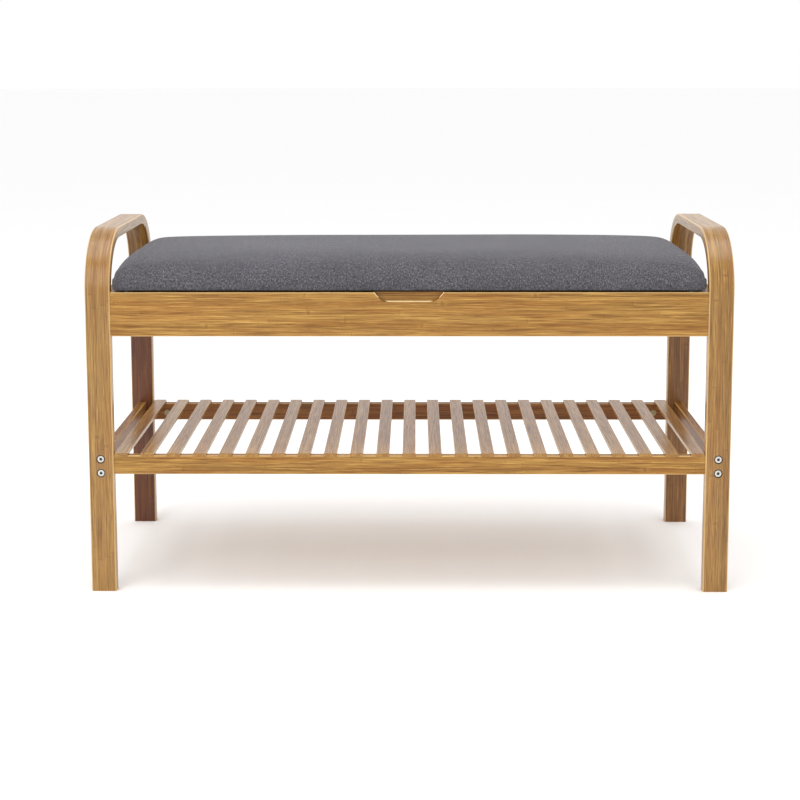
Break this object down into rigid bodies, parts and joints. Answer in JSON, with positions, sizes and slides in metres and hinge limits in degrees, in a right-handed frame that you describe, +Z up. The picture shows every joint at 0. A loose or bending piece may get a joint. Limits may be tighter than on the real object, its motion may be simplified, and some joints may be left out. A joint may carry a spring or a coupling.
{
  "type": "entryway storage bench",
  "caption": "Entryway bench: bent bamboo arch legs with armrests, a padded lift-up lid over a shallow storage box, and a slatted shoe shelf.",
  "frame": {"origin": "on the floor at the middle of the bench's width and depth", "axes": "+X along the bench to the right as seen from the front, +Y to the rear where the hinges are, +Z up"},
  "size_m": [0.9, 0.35, 0.511],
  "materials": {
    "bamboo": "clear satin varnish over laminated bamboo strips",
    "plywood": "unfinished plywood",
    "beech": "fluted dowel, unfinished",
    "grey_fabric": "heathered linen-look weave",
    "foam": "open-cell foam",
    "lining": "thin non-woven lining",
    "hinge_steel": "zinc-plated",
    "bright_zinc": "bright zinc",
    "rubber": "matt"
  },
  "bodies": {
    "frame": {"left_arch": "bamboo", "right_arch": "bamboo", "left_lower_side_rail": "bamboo", "right_lower_side_rail": "bamboo", "left_upper_side_rail": "bamboo", "right_upper_side_rail": "bamboo", "shelf_front_rail": "bamboo", "shelf_rear_rail": "bamboo", "box_front_panel": "bamboo", "box_back_panel": "bamboo", "box_left_side": "bamboo", "box_right_side": "bamboo", "box_bottom_panel": "plywood", "left_hinge_frame_leaf": "hinge_steel", "right_hinge_frame_leaf": "hinge_steel", "hinge_pins": "hinge_steel", "hinge_frame_screws": "hinge_steel", "leg_bolts": "bright_zinc", "leg_barrel_nuts": "bright_zinc", "shelf_bolts": "bright_zinc", "shelf_barrel_nuts": "bright_zinc", "box_bolts": "bright_zinc", "box_inserts": "bright_zinc", "box_dowels": "beech", "upper_rail_dowels": "beech", "lid_bumpers": "rubber", "slat_01": "bamboo", "slat_02": "bamboo", "slat_03": "bamboo", "slat_04": "bamboo", "slat_05": "bamboo", "slat_06": "bamboo", "slat_07": "bamboo", "slat_08": "bamboo", "slat_09": "bamboo", "slat_10": "bamboo", "slat_11": "bamboo", "slat_12": "bamboo", "slat_13": "bamboo", "slat_14": "bamboo", "slat_15": "bamboo", "slat_16": "bamboo", "slat_17": "bamboo", "slat_18": "bamboo", "slat_19": "bamboo", "slat_20": "bamboo", "slat_21": "bamboo", "slat_22": "bamboo", "slat_23": "bamboo"},
    "lid": {"seat_board": "plywood", "seat_foam": "foam", "seat_cover": "grey_fabric", "dust_cover": "lining", "left_hinge_lid_leaf": "hinge_steel", "right_hinge_lid_leaf": "hinge_steel", "hinge_lid_screws": "hinge_steel"}
  },
  "joints": [
    {"name": "lid_hinge", "type": "hinge", "parent": "frame", "child": "lid", "pos_m": [0, 0.1723, 0.429], "axis": [-1, 0, 0], "range_deg": [0, 95]}
  ]
}
